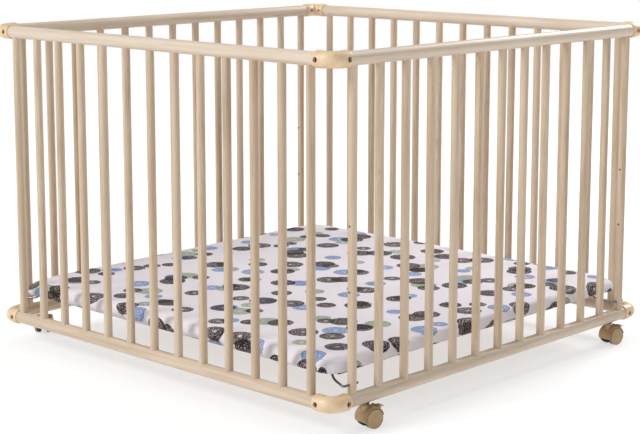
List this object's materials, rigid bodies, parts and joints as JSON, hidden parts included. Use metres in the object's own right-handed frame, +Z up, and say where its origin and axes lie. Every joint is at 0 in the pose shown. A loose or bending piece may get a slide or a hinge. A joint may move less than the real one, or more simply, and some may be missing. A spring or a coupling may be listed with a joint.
{
  "type": "playpen",
  "caption": "Square wooden playpen with barred sides, moulded corner elbows, a height-adjustable padded floor held by wire hooks, and swivelling twin-wheel castors with brakes.",
  "frame": {"origin": "on the ground, under the middle of the square", "axes": "+Z up; +X towards the side with the braked castors; the hooks' pins point towards +Y"},
  "size_m": [1.0968, 1.0704, 0.7462],
  "materials": {
    "rail_wood": "clear satin lacquer on pale beech",
    "bar_wood": "clear satin lacquer on pale beech",
    "board_wood": "bare hardboard",
    "elbow_plastic": "satin moulded plastic, warm beige",
    "bolt_black": "black oxide",
    "brass": "plain",
    "mat_cover": "coated woven cover, pale with scribbled dots in brown, blue and green",
    "saddle_plastic": "moulded",
    "screw_steel": "zinc plated",
    "hook_steel": "dark zinc plated wire",
    "socket_plastic": "moulded",
    "castor_steel": "zinc plated",
    "castor_plastic": "moulded tan plastic",
    "tread_rubber": "soft tread"
  },
  "bodies": {
    "pen": {"front_top_rail": "rail_wood", "right_top_rail": "rail_wood", "back_top_rail": "rail_wood", "left_top_rail": "rail_wood", "front_bottom_rail": "rail_wood", "right_bottom_rail": "rail_wood", "back_bottom_rail": "rail_wood", "left_bottom_rail": "rail_wood", "front_bars": "bar_wood", "right_bars": "bar_wood", "back_bars": "bar_wood", "left_bars": "bar_wood", "top_elbow_front_right": "elbow_plastic", "top_elbow_back_right": "elbow_plastic", "top_elbow_back_left": "elbow_plastic", "top_elbow_front_left": "elbow_plastic", "bottom_elbow_front_right": "elbow_plastic", "bottom_elbow_back_right": "elbow_plastic", "bottom_elbow_back_left": "elbow_plastic", "bottom_elbow_front_left": "elbow_plastic", "elbow_bolts": "bolt_black", "bolt_inserts": "brass", "castor_sockets": "socket_plastic", "castor_stems": "castor_steel"},
    "floor": {"play_mat": "mat_cover", "floor_board": "board_wood", "hook_saddles": "saddle_plastic", "saddle_screws": "screw_steel"},
    "hook_front_right": {"hook_front_right": "hook_steel"},
    "hook_back_right": {"hook_back_right": "hook_steel"},
    "hook_back_left": {"hook_back_left": "hook_steel"},
    "hook_front_left": {"hook_front_left": "hook_steel"},
    "castor_front_right": {"hood_front_right": "castor_plastic", "axle_front_right": "castor_steel"},
    "outer_wheel_front_right": {"outer_wheel_front_right": "castor_plastic", "outer_tread_front_right": "tread_rubber"},
    "inner_wheel_front_right": {"inner_wheel_front_right": "castor_plastic", "inner_tread_front_right": "tread_rubber"},
    "castor_back_right": {"hood_back_right": "castor_plastic", "axle_back_right": "castor_steel"},
    "outer_wheel_back_right": {"outer_wheel_back_right": "castor_plastic", "outer_tread_back_right": "tread_rubber"},
    "inner_wheel_back_right": {"inner_wheel_back_right": "castor_plastic", "inner_tread_back_right": "tread_rubber"},
    "castor_back_left": {"hood_back_left": "castor_plastic", "axle_back_left": "castor_steel"},
    "outer_wheel_back_left": {"outer_wheel_back_left": "castor_plastic", "outer_tread_back_left": "tread_rubber"},
    "inner_wheel_back_left": {"inner_wheel_back_left": "castor_plastic", "inner_tread_back_left": "tread_rubber"},
    "castor_front_left": {"hood_front_left": "castor_plastic", "axle_front_left": "castor_steel"},
    "outer_wheel_front_left": {"outer_wheel_front_left": "castor_plastic", "outer_tread_front_left": "tread_rubber"},
    "inner_wheel_front_left": {"inner_wheel_front_left": "castor_plastic", "inner_tread_front_left": "tread_rubber"},
    "brake_front_right": {"brake_front_right": "castor_plastic"},
    "brake_back_right": {"brake_back_right": "castor_plastic"}
  },
  "joints": [
    {"name": "floor_lift", "type": "slide", "parent": "pen", "child": "floor", "axis": [0, 0, 1], "range_m": [0, 0.312]},
    {"name": "hook_pull_front_right", "type": "slide", "parent": "pen", "child": "hook_front_right", "axis": [0, 1, 0], "range_m": [-0.026, 0]},
    {"name": "hook_pull_back_right", "type": "slide", "parent": "pen", "child": "hook_back_right", "axis": [0, 1, 0], "range_m": [-0.026, 0]},
    {"name": "hook_pull_back_left", "type": "slide", "parent": "pen", "child": "hook_back_left", "axis": [0, 1, 0], "range_m": [-0.026, 0]},
    {"name": "hook_pull_front_left", "type": "slide", "parent": "pen", "child": "hook_front_left", "axis": [0, 1, 0], "range_m": [-0.026, 0]},
    {"name": "swivel_front_right", "type": "hinge", "parent": "pen", "child": "castor_front_right", "pos_m": [0.518, -0.4235, 0.044], "axis": [0, 0, 1], "continuous": true},
    {"name": "outer_roll_front_right", "type": "hinge", "parent": "castor_front_right", "child": "outer_wheel_front_right", "pos_m": [0.51991, -0.41267, 0.02], "axis": [0.9848, -0.1736, 0], "continuous": true},
    {"name": "inner_roll_front_right", "type": "hinge", "parent": "castor_front_right", "child": "inner_wheel_front_right", "pos_m": [0.51991, -0.41267, 0.02], "axis": [0.9848, -0.1736, 0], "continuous": true},
    {"name": "swivel_back_right", "type": "hinge", "parent": "pen", "child": "castor_back_right", "pos_m": [0.518, 0.4235, 0.044], "axis": [0, 0, 1], "continuous": true},
    {"name": "outer_roll_back_right", "type": "hinge", "parent": "castor_back_right", "child": "outer_wheel_back_right", "pos_m": [0.51991, 0.43433, 0.02], "axis": [0.9848, -0.1736, 0], "continuous": true},
    {"name": "inner_roll_back_right", "type": "hinge", "parent": "castor_back_right", "child": "inner_wheel_back_right", "pos_m": [0.51991, 0.43433, 0.02], "axis": [0.9848, -0.1736, 0], "continuous": true},
    {"name": "swivel_back_left", "type": "hinge", "parent": "pen", "child": "castor_back_left", "pos_m": [-0.518, 0.4235, 0.044], "axis": [0, 0, 1], "continuous": true},
    {"name": "outer_roll_back_left", "type": "hinge", "parent": "castor_back_left", "child": "outer_wheel_back_left", "pos_m": [-0.5255, 0.43155, 0.02], "axis": [0.7314, 0.682, 0], "continuous": true},
    {"name": "inner_roll_back_left", "type": "hinge", "parent": "castor_back_left", "child": "inner_wheel_back_left", "pos_m": [-0.5255, 0.43155, 0.02], "axis": [0.7314, 0.682, 0], "continuous": true},
    {"name": "swivel_front_left", "type": "hinge", "parent": "pen", "child": "castor_front_left", "pos_m": [-0.518, -0.4235, 0.044], "axis": [0, 0, 1], "continuous": true},
    {"name": "outer_roll_front_left", "type": "hinge", "parent": "castor_front_left", "child": "outer_wheel_front_left", "pos_m": [-0.5255, -0.41546, 0.02], "axis": [0.7314, 0.682, 0], "continuous": true},
    {"name": "inner_roll_front_left", "type": "hinge", "parent": "castor_front_left", "child": "inner_wheel_front_left", "pos_m": [-0.5255, -0.41546, 0.02], "axis": [0.7314, 0.682, 0], "continuous": true},
    {"name": "brake_pedal_front_right", "type": "hinge", "parent": "castor_front_right", "child": "brake_front_right", "pos_m": [0.52281, -0.39621, 0.03992], "axis": [0.9848, -0.1736, 0], "range_deg": [0, 12]},
    {"name": "brake_pedal_back_right", "type": "hinge", "parent": "castor_back_right", "child": "brake_back_right", "pos_m": [0.52281, 0.45079, 0.03992], "axis": [0.9848, -0.1736, 0], "range_deg": [0, 12]}
  ]
}
